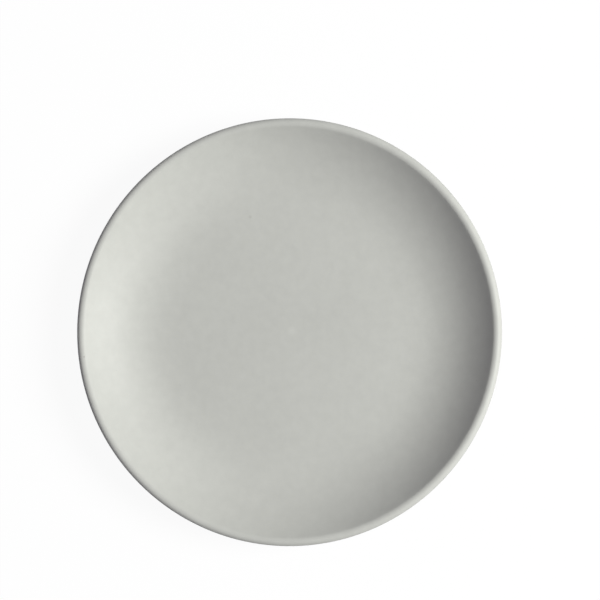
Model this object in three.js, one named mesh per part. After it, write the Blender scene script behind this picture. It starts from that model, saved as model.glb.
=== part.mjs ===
import * as THREE from "three";

// A round coupe salad plate in stoneware: one fired clay body on a foot ring, under a matte glaze.
// The glaze is a single coat from the middle of the face, over the lip and down to the foot ring, and
// a second patch in the recess that the foot ring encloses. The foot itself is wiped bare.
// Millimetres and degrees, +Z up. The origin is on the table, in the middle of the foot ring.

// Sizes over the glaze
const plateDiameter = 210;
const floorThickness = 5.4;
const rimThickness = 5;
const lipCrownRadius = 3; // the soft inner side of the lip

// The rising wall, outwards from the flat of the well: how wide each band is seen from above, and the
// slope that it reaches at its top
const easeWidth = 11.5; // a slow start out of the well
const easeSlope = 4.5;
const heelWidth = 24; // the heel, which curves most
const heelSlope = 30;
const upperWallWidth = 10.5; // a straighter band below the lip
const upperWallSlope = 41;

// Foot ring
const footHeight = 4; // from the table to the glazed underside
const footInset = 1; // the level stretch of underside outside the ring
const footFillet = 1.8;
const footDraft = 12; // its sides lean in towards the tread
const footEdgeRadius = 0.8;
const treadWidth = 3.5;

// Glaze
const glazeThickness = 0.45;
const glazeBond = 0.05; // clearance between the clay and its coat
const glazeTaper = 0.5; // the length over which the coat thins out at its edge
const bareBand = 0.6; // bare clay between the foot's rounded edge and the glaze line

// Facets
const wedges = 56; // round the axis
const chordError = 0.06; // the most that a chord leaves its arc

// A section is walked along the clay's surface, with the clay on the right hand. Each stop has a
// radius from the axis, a height and the heading in which the walk passes it.
const straight = (length) => ({ length });
const bend = (radius, turn) => ({ radius, turn }); // to the left where the turn is positive

function chordsOf(radius, turn) {
  const chord = 2 * Math.acos(1 - Math.min(1, chordError / radius));
  return Math.max(2, Math.ceil(Math.abs(turn) / chord));
}

function walk(start, pieces) {
  const stops = [start];
  for (const { length, radius, turn } of pieces) {
    const { r, z, heading } = stops.at(-1);
    if (length !== undefined) {
      stops.push({ r: r + length * Math.cos(heading), z: z + length * Math.sin(heading), heading });
      continue;
    }
    const chords = chordsOf(radius, turn);
    const reach = radius * Math.sign(turn);
    for (let chord = 1; chord <= chords; chord++) {
      const faced = heading + (turn * chord) / chords;
      stops.push({
        r: r + reach * (Math.sin(faced) - Math.sin(heading)),
        z: z + reach * (Math.cos(heading) - Math.cos(faced)),
        heading: faced,
      });
    }
  }
  return stops;
}

// The walk's own line, moved out of the clay by a distance
const raised = (stops, distance) =>
  stops.map(
    ({ r, z, heading }) =>
      new THREE.Vector2(r - distance * Math.sin(heading), z + distance * Math.cos(heading)),
  );

// The closed outline of a coat that lies on a stretch of the clay, from the axis to its bare end
function coatOutline(stops, bareEnd) {
  const under = raised(stops, glazeBond).reverse();
  const over = raised(stops, glazeBond + glazeThickness);
  if (bareEnd === "first") return [...under, ...over.slice(1)];
  return [...over.slice(0, -1), ...under];
}

// Turns an outline, walked with its material on the right, about the upright axis
function revolved(outline) {
  const upwards = outline.toReversed();
  return new THREE.LatheGeometry(upwards, wedges).rotateX(Math.PI / 2);
}

const { degToRad } = THREE.MathUtils;

// Sizes of the clay under its coat
const coat = glazeBond + glazeThickness;
const clayRadius = plateDiameter / 2 - coat;
const clayRim = rimThickness - 2 * coat;
const clayFloor = floorThickness - 2 * coat;
const clayUnderside = footHeight + coat;

// The wall's slopes and the foot's sides, as turns of the section
const easeTurn = degToRad(easeSlope);
const heelTurn = degToRad(heelSlope);
const rimTurn = degToRad(upperWallSlope);
const footTurn = degToRad(90 - footDraft);

// Lip: a full round whose inner side is softer than its edge
const crownRadius = lipCrownRadius - coat;
const lipRadius = (clayRim - crownRadius * (1 - Math.cos(rimTurn))) / (1 + Math.cos(rimTurn));
const lipStart = clayRadius - lipRadius - crownRadius * Math.sin(rimTurn);

// Wall, each band an arc that runs on from the one before, and the flat of the well inside it
const wallArc = (width, from, to) => bend(width / (Math.sin(to) - Math.sin(from)), to - from);
const ease = wallArc(easeWidth, 0, easeTurn);
const heel = wallArc(heelWidth, easeTurn, heelTurn);
const upperWall = wallArc(upperWallWidth, heelTurn, rimTurn);
const wellRadius = lipStart - upperWallWidth - heelWidth - easeWidth;

// Foot ring: its sides run straight between the fillet above and the rounded edge below, and the
// fillet leaves them long enough for the bare band and for the coat to thin out above it
const edgeRise = footEdgeRadius * (1 - Math.cos(footTurn));
const shortestSide = bareBand + 2 * glazeTaper;
const filletRoom = clayUnderside - edgeRise - shortestSide * Math.sin(footTurn);
const clayFillet = Math.min(footFillet + coat, filletRoom / (1 - Math.cos(footTurn)));
const filletDrop = clayFillet * (1 - Math.cos(footTurn));
const footSide = (clayUnderside - filletDrop - edgeRise) / Math.sin(footTurn);
const glazedSide = footSide - bareBand - glazeTaper;

// From the middle of the face, over the lip and down the straighter band of the back
const faceAndLip = walk({ r: 0, z: clayUnderside + clayFloor, heading: 0 }, [
  straight(wellRadius),
  ease,
  heel,
  upperWall,
  bend(crownRadius, -rimTurn),
  bend(lipRadius, -Math.PI / 2),
  bend(lipRadius, rimTurn - Math.PI / 2),
  bend(upperWall.radius + clayRim, -upperWall.turn),
]);

// Round the heel of the back, which levels out at the underside, to the glaze line on the foot
const backHeelRadius = (faceAndLip.at(-1).z - clayUnderside) / (1 - Math.cos(heelTurn));
const back = walk(faceAndLip.at(-1), [
  bend(backHeelRadius, -heelTurn),
  straight(footInset),
  bend(clayFillet, footTurn),
  straight(glazedSide),
  straight(glazeTaper),
]);
const outside = [...faceAndLip, ...back.slice(1)];

// Under the foot, from glaze line to glaze line
const bareFoot = walk(outside.at(-1), [
  straight(bareBand),
  bend(footEdgeRadius, -footTurn),
  straight(treadWidth),
  bend(footEdgeRadius, -footTurn),
  straight(bareBand),
]);

// Up the inner side of the foot and along the recess to the axis
const recess = walk(bareFoot.at(-1), [
  straight(glazeTaper),
  straight(glazedSide),
  bend(clayFillet, footTurn),
]);
recess.push({ ...recess.at(-1), r: 0 });

// Finishes
const clay = new THREE.MeshStandardMaterial({ color: 0xc9b79c, roughness: 0.9, metalness: 0 });
const matteGlaze = new THREE.MeshStandardMaterial({ color: 0xbfc0ba, roughness: 0.6, metalness: 0 });

function piece(name, outline, material) {
  const mesh = new THREE.Mesh(revolved(outline), material);
  mesh.name = name;
  return mesh;
}

const clayOutline = raised([...outside, ...bareFoot.slice(1), ...recess.slice(1)], 0);

const plate = new THREE.Group();
plate.add(piece("stoneware_body", clayOutline, clay));
plate.add(piece("glaze_coat", coatOutline(outside, "last"), matteGlaze));
plate.add(piece("foot_recess_glaze", coatOutline(recess, "first"), matteGlaze));

export default plate;
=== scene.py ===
import math
from collections import namedtuple

import bmesh
import bpy
from mathutils import Matrix, Vector, noise


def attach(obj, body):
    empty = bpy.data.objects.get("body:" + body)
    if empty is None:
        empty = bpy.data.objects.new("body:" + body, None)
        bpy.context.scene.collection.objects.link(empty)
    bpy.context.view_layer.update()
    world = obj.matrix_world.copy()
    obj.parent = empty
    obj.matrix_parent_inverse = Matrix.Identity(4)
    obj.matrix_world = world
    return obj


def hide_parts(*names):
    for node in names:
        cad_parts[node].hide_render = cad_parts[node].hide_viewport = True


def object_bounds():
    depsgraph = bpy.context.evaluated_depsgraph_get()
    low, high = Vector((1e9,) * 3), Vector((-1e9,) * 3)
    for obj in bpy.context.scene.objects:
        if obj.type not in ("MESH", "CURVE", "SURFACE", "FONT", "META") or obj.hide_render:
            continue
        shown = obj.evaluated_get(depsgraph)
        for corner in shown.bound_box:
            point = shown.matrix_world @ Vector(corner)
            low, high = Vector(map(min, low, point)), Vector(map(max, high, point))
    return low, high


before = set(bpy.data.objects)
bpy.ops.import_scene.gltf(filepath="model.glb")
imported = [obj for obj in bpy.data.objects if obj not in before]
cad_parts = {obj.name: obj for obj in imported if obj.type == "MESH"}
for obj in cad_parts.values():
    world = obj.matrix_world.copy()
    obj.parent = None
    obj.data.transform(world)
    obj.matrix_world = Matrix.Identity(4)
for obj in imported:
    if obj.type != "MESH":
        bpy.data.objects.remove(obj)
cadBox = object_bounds()
scene = bpy.context.scene
mm = 0.001
print("frame loaded:", ", ".join(sorted(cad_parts)))

# The section, in millimetres over the glaze, with the sizes that the solids have
plateForm = {
    "diameter": (cadBox[1].x - cadBox[0].x) / mm,
    "floorThickness": 5.4,
    "rimThickness": 5.0,
    "lipCrownRadius": 3.0,
    "wall": ((11.5, 4.5), (24.0, 30.0), (10.5, 41.0)),  # each band: width from above, slope at its top
    "footHeight": 4.0,
    "footInset": 1.0,
    "footFillet": 1.8,
    "footDraft": 12.0,
    "footEdgeRadius": 0.8,
    "treadWidth": 3.5,
    "glazeThickness": 0.45,
    "glazeBond": 0.05,
    "glazeTaper": 0.5,
    "bareBand": 0.6,
}
meshing = {
    "slices": 192,
    "longStep": 1.6,  # millimetres
    "bendStep": 6.0,  # degrees
    "fewestSteps": 4,
    "sharpEdge": 50.0,
}

# One place on the section: heading is the way the walk goes, with the clay on its right.
# rise is the share of the glaze's thickness there, slide how far it follows the glaze line's wander.
Stop = namedtuple("Stop", "r z heading rise slide", defaults=(1.0, 0.0))


def straight(length):
    return {"length": length}


def bend(radius, turn):
    return {"radius": radius, "turn": turn}  # to the left where the turn is positive


def walk(start, legs):
    stops = [start]
    for leg in legs:
        r, z, heading = stops[-1][:3]
        if "length" in leg:
            steps = math.ceil(leg["length"] / meshing["longStep"])
            for i in range(1, steps + 1):
                gone = leg["length"] * i / steps
                stops.append(Stop(r + gone * math.cos(heading), z + gone * math.sin(heading), heading))
            continue
        radius, turn = leg["radius"], leg["turn"]
        bySize = radius * abs(turn) / meshing["longStep"]
        byTurn = math.degrees(abs(turn)) / meshing["bendStep"]
        steps = max(meshing["fewestSteps"], math.ceil(max(bySize, byTurn)))
        reach = math.copysign(radius, turn)
        for i in range(1, steps + 1):
            faced = heading + turn * i / steps
            across = reach * (math.sin(faced) - math.sin(heading))
            up = reach * (math.cos(heading) - math.cos(faced))
            stops.append(Stop(r + across, z + up, faced))
    return stops


def plateSection(form):
    coat = form["glazeBond"] + form["glazeThickness"]
    clayRim = form["rimThickness"] - 2 * coat
    underside = form["footHeight"] + coat
    floorTop = underside + form["floorThickness"] - 2 * coat
    slopes = [0.0] + [math.radians(slope) for _, slope in form["wall"]]
    heelTurn, rimTurn = slopes[-2:]

    crown = form["lipCrownRadius"] - coat
    lip = (clayRim - crown * (1 - math.cos(rimTurn))) / (1 + math.cos(rimTurn))
    wall = [
        bend(width / (math.sin(top) - math.sin(foot)), top - foot)
        for (width, _), foot, top in zip(form["wall"], slopes, slopes[1:])
    ]
    lipStart = form["diameter"] / 2 - coat - lip - crown * math.sin(rimTurn)
    well = lipStart - sum(width for width, _ in form["wall"])

    footTurn = math.radians(90 - form["footDraft"])
    fillet = form["footFillet"] + coat
    bendDrop = (fillet + form["footEdgeRadius"]) * (1 - math.cos(footTurn))
    side = (underside - bendDrop) / math.sin(footTurn)
    glazedSide = side - form["bareBand"] - form["glazeTaper"]

    face = walk(Stop(0, floorTop, 0), [
        straight(well),
        *wall,
        bend(crown, -rimTurn),
        bend(lip, -math.pi / 2),
        bend(lip, rimTurn - math.pi / 2),
        bend(wall[-1]["radius"] + clayRim, heelTurn - rimTurn),
    ])
    backHeel = (face[-1].z - underside) / (1 - math.cos(heelTurn))
    back = walk(face[-1], [
        bend(backHeel, -heelTurn),
        straight(form["footInset"]),
        bend(fillet, footTurn),
        straight(glazedSide),
        straight(form["glazeTaper"]),
    ])
    foot = walk(back[-1], [
        straight(form["bareBand"]),
        bend(form["footEdgeRadius"], -footTurn),
        straight(form["treadWidth"]),
        bend(form["footEdgeRadius"], -footTurn),
        straight(form["bareBand"]),
    ])
    recess = walk(foot[-1], [
        straight(form["glazeTaper"]),
        straight(glazedSide),
        bend(fillet, footTurn),
    ])
    inward = walk(recess[-1], [straight(recess[-1].r)])
    return {"outside": face + back[1:], "foot": foot, "recess": recess + inward[1:]}


section = plateSection(plateForm)
print("section walked:", {name: len(stops) for name, stops in section.items()})

# What the kiln does to a round plate outside its foot, in millimetres at the lip
firing = {
    "footRadius": 57.0,
    "oval": 0.02,
    "ovalTurn": 90.0,  # degrees
    "rimLift": 0.04,  # a saddle, with a ripple of three waves on it
    "saddlePhase": 0.9,
    "rippleShare": 0.5,
    "ripplePhase": 2.2,
}


def fired(r, z, angle):
    outside = plateForm["diameter"] / 2 - firing["footRadius"]
    reach = max(0.0, (r - firing["footRadius"]) / outside) ** 2
    out = reach * firing["oval"] * math.cos(2 * (angle - math.radians(firing["ovalTurn"])))
    saddle = math.cos(2 * angle + firing["saddlePhase"])
    ripple = firing["rippleShare"] * math.cos(3 * angle + firing["ripplePhase"])
    lift = reach * firing["rimLift"] * (saddle + ripple)
    return Vector(((r + out) * math.cos(angle), (r + out) * math.sin(angle), z + lift)) * mm


# The edge of the glaze above the wiped foot
glazeLine = {
    "wander": 0.2,
    "waves": 3.0,
    "fineWaves": 2.7,  # times the main waves
    "fineShare": 0.5,
    "fadesOver": 3.0,  # times the taper, up from the edge
    "nose": 0.9,
    "bead": 0.22,
    "beadWidth": 0.55,
}


def lineWander(angle, seed):
    around = Vector((math.cos(angle), math.sin(angle), seed)) * glazeLine["waves"]
    fine = glazeLine["fineShare"] * noise.noise(around * glazeLine["fineWaves"])
    return glazeLine["wander"] * (noise.noise(around) + fine)


# The stops of a coat that ends at the last one
def withGlazeEdge(stops):
    edge, taper = stops[-1], plateForm["glazeTaper"]
    shaped = []
    for stop in stops:
        away = math.hypot(stop.r - edge.r, stop.z - edge.z)
        near = max(0.0, 1 - away / taper)
        rise = math.sqrt(1 - (glazeLine["nose"] * near) ** 2)
        swell = math.exp(-(((away - taper) / glazeLine["beadWidth"]) ** 2))
        slide = max(0.0, 1 - away / (glazeLine["fadesOver"] * taper))
        shaped.append(stop._replace(rise=rise * (1 + glazeLine["bead"] * swell), slide=slide))
    return shaped


def lifted(stop, distance, shift):
    r = stop.r + stop.slide * shift * math.cos(stop.heading) - distance * math.sin(stop.heading)
    z = stop.z + stop.slide * shift * math.sin(stop.heading) + distance * math.cos(stop.heading)
    return r, z


# A closed outline turned about the axis. Each row is a stop and how far off the clay the skin is there.
def turned(name, rows, seed):
    bm = bmesh.new()
    loops = []
    slices = meshing["slices"]
    angles = [2 * math.pi * k / slices for k in range(slices)]
    for stop, off in rows:
        ring = [fired(*lifted(stop, off, lineWander(angle, seed)), angle) for angle in angles]
        if ring[0].xy.length < 1e-9:  # on the axis
            loops.append([bm.verts.new(ring[0])] * slices)
        else:
            loops.append([bm.verts.new(point) for point in ring])
    for inner, outer in zip(loops, loops[1:]):
        for k in range(slices):
            n = (k + 1) % slices
            corners = list(dict.fromkeys((inner[k], inner[n], outer[n], outer[k])))
            bm.faces.new(corners)
    bmesh.ops.recalc_face_normals(bm, faces=bm.faces)
    mesh = bpy.data.meshes.new(name)
    bm.to_mesh(mesh)
    bm.free()
    mesh.shade_smooth()
    mesh.set_sharp_from_angle(angle=math.radians(meshing["sharpEdge"]))
    piece = bpy.data.objects.new(name, mesh)
    scene.collection.objects.link(piece)
    return piece


# Clay body
clayStops = section["outside"] + section["foot"][1:] + section["recess"][1:]
stonewareBody = turned("stoneware_body_fired", [(stop, 0.0) for stop in clayStops], 0.0)


# Glaze: one coat over the face, lip and back, one patch inside the foot, each from the axis to its edge
def coatRows(stops):
    bond, thickness = plateForm["glazeBond"], plateForm["glazeThickness"]
    shaped = withGlazeEdge(stops)
    over = [(stop, bond + stop.rise * thickness) for stop in shaped[:-1]]
    return over + [(stop, bond) for stop in reversed(shaped)]


glazeCoat = turned("glaze_coat_fired", coatRows(section["outside"]), 1.7)
recessGlaze = turned("recess_glaze_fired", coatRows(section["recess"][::-1]), 8.3)
print("pieces turned:", [(o.name, len(o.data.polygons)) for o in (stonewareBody, glazeCoat, recessGlaze)])


# A shader socket that maths can be written with
class Wire:
    def __init__(self, socket):
        self.socket = socket
        self.tree = socket.id_data

    def node(self, kind, settings, values, output=0):
        made = self.tree.nodes.new("ShaderNode" + kind)
        for name, value in settings.items():
            setattr(made, name, value)
        for name, value in values.items():
            socket = next(s for s in made.inputs if name in (s.identifier, s.name))
            feed(socket, value)
        if isinstance(output, int):
            return Wire(made.outputs[output])
        return Wire(next(s for s in made.outputs if output in (s.identifier, s.name)))

    def maths(self, operation, a, b):
        return self.node("Math", {"operation": operation}, {"Value": a, "Value_001": b})

    def __add__(self, other):
        return self.maths("ADD", self, other)

    def __radd__(self, other):
        return self.maths("ADD", other, self)

    def __sub__(self, other):
        return self.maths("SUBTRACT", self, other)

    def __rsub__(self, other):
        return self.maths("SUBTRACT", other, self)

    def __mul__(self, other):
        return self.maths("MULTIPLY", self, other)

    def __rmul__(self, other):
        return self.maths("MULTIPLY", other, self)


def feed(socket, value):
    if isinstance(value, Wire):
        socket.id_data.links.new(value.socket, socket)
    else:
        socket.default_value = value


def newFinish(name):
    material = bpy.data.materials.new(name)
    material.use_nodes = True
    shader = material.node_tree.nodes["Principled BSDF"]
    place = Wire(material.node_tree.nodes.new("ShaderNodeTexCoord").outputs["Object"])
    return material, shader, place


def grain(place, size, detail=2.0, roughness=0.5):
    values = {"Vector": place, "Scale": 1 / (size * mm), "Detail": detail, "Roughness": roughness}
    return place.node("TexNoise", {"noise_dimensions": "3D"}, values, "Fac")


def blended(place, share, low, high):
    low, high = (c if isinstance(c, Wire) else (*c, 1) for c in (low, high))
    values = {"Factor_Float": share, "A_Color": low, "B_Color": high}
    return place.node("Mix", {"data_type": "RGBA"}, values, "Result_Color")


def tinted(colour, gain):
    return tuple(min(1.0, c * gain) for c in colour)


def smoothStep(place, value, low, high):
    values = {"Value": value, "From Min": low, "From Max": high}
    return place.node("MapRange", {"interpolation_type": "SMOOTHSTEP"}, values)


# Relief whose heights are in millimetres
def roughened(place, height):
    return place.node("Bump", {}, {"Strength": 1.0, "Distance": mm, "Height": height}, "Normal")


# Scattered dots, 1 out to half of their radius
def dots(place, spacing, radius):
    values = {"Vector": place, "Scale": 1 / (spacing * mm)}
    away = place.node("TexVoronoi", {"feature": "F1"}, values, "Distance")
    return 1 - smoothStep(place, away, 0.5 * radius / spacing, radius / spacing)


# Matte glaze: near even grey, with a soft mottle, a slow cloud and a few faint specks
glazeFinish = {
    "tone": (0.521, 0.527, 0.491),
    "contrast": 0.10,
    "mottleSize": 5.0,
    "cloudSize": 38.0,
    "cloudShare": 0.35,
    "roughness": 0.47,
    "roughnessPlay": 0.1,
    "sheenSize": 15.0,
    "specular": 0.2,
    "grainSize": 0.5,
    "grainHeight": 0.006,
    "peelSize": 4.5,
    "peelHeight": 0.01,
    "speckTone": (0.19, 0.18, 0.16),
    "speckSpacing": 14.0,
    "speckRadius": 0.22,
    "speckStrength": 0.4,
    "ironSpot": {"at": (-20.1, 57.6), "radius": 1.3, "strength": 0.2},
    "pinhole": {"at": (-101.0, -12.2), "radius": 0.8, "strength": 0.35, "depth": 0.06},
    "paleHeart": {"at": (0.86, 0.9), "radius": 3.6, "gain": 1.07},
}


def faceHeight(radius):
    coat = plateForm["glazeBond"] + plateForm["glazeThickness"]
    face = [lifted(stop, coat, 0) for stop in section["outside"] if stop.heading >= 0]
    for (r0, z0), (r1, z1) in zip(face, face[1:]):
        if r0 <= radius <= r1 and r1 > r0:
            return z0 + (z1 - z0) * (radius - r0) / (r1 - r0)
    return face[-1][1]


# A soft round patch on the plate's face, 1 in its middle
def spotOnFace(place, spot):
    x, y = spot["at"]
    centre = Vector((x, y, faceHeight(math.hypot(x, y)))) * mm
    ends = {"Vector": place, "Vector_001": centre}
    away = place.node("VectorMath", {"operation": "DISTANCE"}, ends, "Value")
    return 1 - smoothStep(place, away, 0.0, spot["radius"] * mm)


def matteGlaze():
    g = glazeFinish
    material, shader, place = newFinish("matte_glaze_fired")
    mottle = grain(place, g["mottleSize"], detail=4.0, roughness=0.6)
    cloud = grain(place, g["cloudSize"])
    share = mottle * (1 - g["cloudShare"]) + cloud * g["cloudShare"]
    low, high = (tinted(g["tone"], 1 + side * g["contrast"]) for side in (-1, 1))
    ground = blended(place, share, low, high)

    speck = dots(place, g["speckSpacing"], g["speckRadius"])
    pinhole = spotOnFace(place, g["pinhole"])
    ironSpot = spotOnFace(place, g["ironSpot"])
    dark = place.maths("MAXIMUM", ironSpot * g["ironSpot"]["strength"], pinhole * g["pinhole"]["strength"])
    dark = place.maths("MAXIMUM", dark, speck * g["speckStrength"])
    heart = spotOnFace(place, g["paleHeart"])
    ground = blended(place, heart, ground, tinted(g["tone"], g["paleHeart"]["gain"]))
    feed(shader.inputs["Base Color"], blended(place, dark, ground, g["speckTone"]))

    sheen = grain(place, g["sheenSize"], detail=3.0)
    feed(shader.inputs["Roughness"], sheen * g["roughnessPlay"] + (g["roughness"] - g["roughnessPlay"] / 2))
    shader.inputs["Specular IOR Level"].default_value = g["specular"]

    height = grain(place, g["grainSize"]) * g["grainHeight"]
    height = height + grain(place, g["peelSize"], detail=1.0) * g["peelHeight"]
    height = height - pinhole * g["pinhole"]["depth"]
    feed(shader.inputs["Normal"], roughened(place, height))
    return material


# Bare stoneware on the foot: buff, grainy and dry
clayFinish = {
    "tone": (0.584, 0.474, 0.332),
    "contrast": 0.14,
    "grainSize": 0.45,
    "roughness": 0.9,
    "roughnessPlay": 0.14,
    "grainHeight": 0.03,
    "grogTone": (0.30, 0.22, 0.14),
    "grogSpacing": 1.6,
    "grogRadius": 0.16,
    "grogStrength": 0.7,
    "specular": 0.2,
}


def bareStoneware():
    c = clayFinish
    material, shader, place = newFinish("bare_stoneware")
    fine = grain(place, c["grainSize"], detail=4.0, roughness=0.65)
    low, high = (tinted(c["tone"], 1 + side * c["contrast"]) for side in (-1, 1))
    ground = blended(place, fine, low, high)
    grog = dots(place, c["grogSpacing"], c["grogRadius"])
    feed(shader.inputs["Base Color"], blended(place, grog * c["grogStrength"], ground, c["grogTone"]))
    feed(shader.inputs["Roughness"], fine * c["roughnessPlay"] + (c["roughness"] - c["roughnessPlay"] / 2))
    shader.inputs["Specular IOR Level"].default_value = c["specular"]
    feed(shader.inputs["Normal"], roughened(place, fine * c["grainHeight"]))
    return material


glaze = matteGlaze()
clay = bareStoneware()
for piece, finish, node, slot in (
    (stonewareBody, clay, "stoneware_body", "stoneware"),
    (glazeCoat, glaze, "glaze_coat", "matte_glaze"),
    (recessGlaze, glaze, "foot_recess_glaze", "matte_glaze"),
):
    piece.data.materials.append(finish)
    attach(piece, "root")
    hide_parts(node)
print("finishes given")

# White floor that keeps a faint shadow, darker close under the plate, in a white surround
stage = {
    "floorSize": 6.0,  # metres
    "floorDrop": 0.05,  # millimetres under the foot
    "floorTone": 0.5,  # what it gives back to the plate
    "shadowShare": 0.06,
    "contactShare": 0.7,
    "contactReach": 15.0,  # millimetres, the most room above the floor that still darkens it
    "contactRays": 4,
    "shadowFade": (0.4, 1.5),  # metres from the middle, out to where the floor is plain white
    "ambient": (0.121, 0.113, 0.142),
}


# 1 for what the camera sees, also by reflection or through glass, and 0 for what lights the plate
def seenDirectly(light):
    paths = ["Is Camera Ray", "Is Glossy Ray", "Is Transmission Ray"]
    rays = [Wire(light.outputs[path]) for path in paths]
    return rays[0].maths("MAXIMUM", rays[0].maths("MAXIMUM", rays[0], rays[1]), rays[2])


# How much of the shadow the floor shows: a little, more close under the plate, none far out
def shadowShown(place):
    rays, reach = stage["contactRays"], stage["contactReach"] * mm
    room = place.node("AmbientOcclusion", {"samples": rays}, {"Distance": reach}, "AO")
    away = place.node("VectorMath", {"operation": "LENGTH"}, {"Vector": place}, "Value")
    near = 1 - smoothStep(place, away, *stage["shadowFade"])
    return ((1 - room) * stage["contactShare"] + stage["shadowShare"]) * near


def whiteFloor():
    material = bpy.data.materials.new("white_floor")
    material.use_nodes = True
    tree = material.node_tree
    tree.nodes.remove(tree.nodes["Principled BSDF"])
    seen = seenDirectly(tree.nodes.new("ShaderNodeLightPath"))
    place = Wire(tree.nodes.new("ShaderNodeTexCoord").outputs["Object"])
    lit = seen.node("BsdfDiffuse", {}, {"Color": (1, 1, 1, 1)})
    bounce = seen.node("BsdfDiffuse", {}, {"Color": (*[stage["floorTone"]] * 3, 1)})
    white = seen.node("Emission", {}, {"Color": (1, 1, 1, 1), "Strength": 1.0})
    shown = seen.node("MixShader", {}, {"Fac": shadowShown(place), "Shader": white, "Shader_001": lit})
    surface = seen.node("MixShader", {}, {"Fac": seen, "Shader": bounce, "Shader_001": shown})
    tree.links.new(surface.socket, tree.nodes["Material Output"].inputs["Surface"])
    return material


half = stage["floorSize"] / 2
floorMesh = bpy.data.meshes.new("floor")
corners = [(-half, -half, 0), (half, -half, 0), (half, half, 0), (-half, half, 0)]
floorMesh.from_pydata(corners, [], [(0, 1, 2, 3)])
floorMesh.materials.append(whiteFloor())
floor = bpy.data.objects.new("floor", floorMesh)
floor.location.z = -stage["floorDrop"] * mm
scene.collection.objects.link(floor)

world = bpy.data.worlds.new("studio")
scene.world = world
world.use_nodes = True
seen = seenDirectly(world.node_tree.nodes.new("ShaderNodeLightPath"))
ambient = seen.node("Background", {}, {"Color": (*stage["ambient"], 1), "Strength": 1.0})
white = seen.node("Background", {}, {"Color": (1, 1, 1, 1), "Strength": 1.0})
sky = seen.node("MixShader", {}, {"Fac": seen, "Shader": ambient, "Shader_001": white})
world.node_tree.links.new(sky.socket, world.node_tree.nodes["World Output"].inputs["Surface"])

# One large soft lamp from the right. level is what a level white surface would show of it.
keyLamp = {
    "level": 0.89,
    "elevation": 42.9,  # degrees
    "azimuth": 0.0,
    "distance": 2.5,  # metres
    "size": 1.2,
    "colour": (0.992, 1, 0.977),
}


def addKeyLamp():
    k = keyLamp
    rise, turn = math.radians(k["elevation"]), math.radians(k["azimuth"])
    towards = Vector((math.cos(rise) * math.cos(turn), math.cos(rise) * math.sin(turn), math.sin(rise)))
    lamp = bpy.data.lights.new("key", "AREA")
    lamp.shape = "DISK"
    lamp.size = k["size"]
    lamp.color = k["colour"]
    lamp.energy = k["level"] * math.pi ** 2 * k["distance"] ** 2 / math.sin(rise)
    holder = bpy.data.objects.new("key", lamp)
    holder.location = towards * k["distance"]
    holder.rotation_euler = towards.to_track_quat("Z", "Y").to_euler()
    scene.collection.objects.link(holder)


addKeyLamp()

# Almost straight down on the plate, framed as in the photograph
shot = {
    "lens": 120.0,  # millimetres
    "sensor": 36.0,
    "frame": 600,  # pixels
    "centrePixel": (286.95, 332.0),
    "radiusPixels": 213.9,
    "edgeHeight": 23.0,  # millimetres
    "tilt": 6.8,  # degrees
    "tiltTowards": -5.0,
}


def addCamera():
    s = shot
    camera = bpy.data.cameras.new("camera")
    camera.lens, camera.sensor_width = s["lens"], s["sensor"]
    camera.shift_x = (s["frame"] / 2 - s["centrePixel"][0]) / s["frame"]
    camera.shift_y = (s["centrePixel"][1] - s["frame"] / 2) / s["frame"]
    frameWidth = plateForm["diameter"] * mm / 2 / s["radiusPixels"] * s["frame"]
    tilt, turn = math.radians(s["tilt"]), math.radians(s["tiltTowards"])
    back = Vector((math.sin(tilt) * math.cos(turn), math.sin(tilt) * math.sin(turn), math.cos(tilt)))
    right = Vector((0, 1, 0)).cross(back).normalized()
    holder = bpy.data.objects.new("camera", camera)
    holder.location = Vector((0, 0, s["edgeHeight"] * mm)) + back * frameWidth * s["lens"] / s["sensor"]
    holder.rotation_euler = Matrix((right, back.cross(right), back)).transposed().to_euler()
    scene.collection.objects.link(holder)
    scene.camera = holder


addCamera()
scene.view_settings.view_transform = "Standard"
print("stage, lamp and camera set")
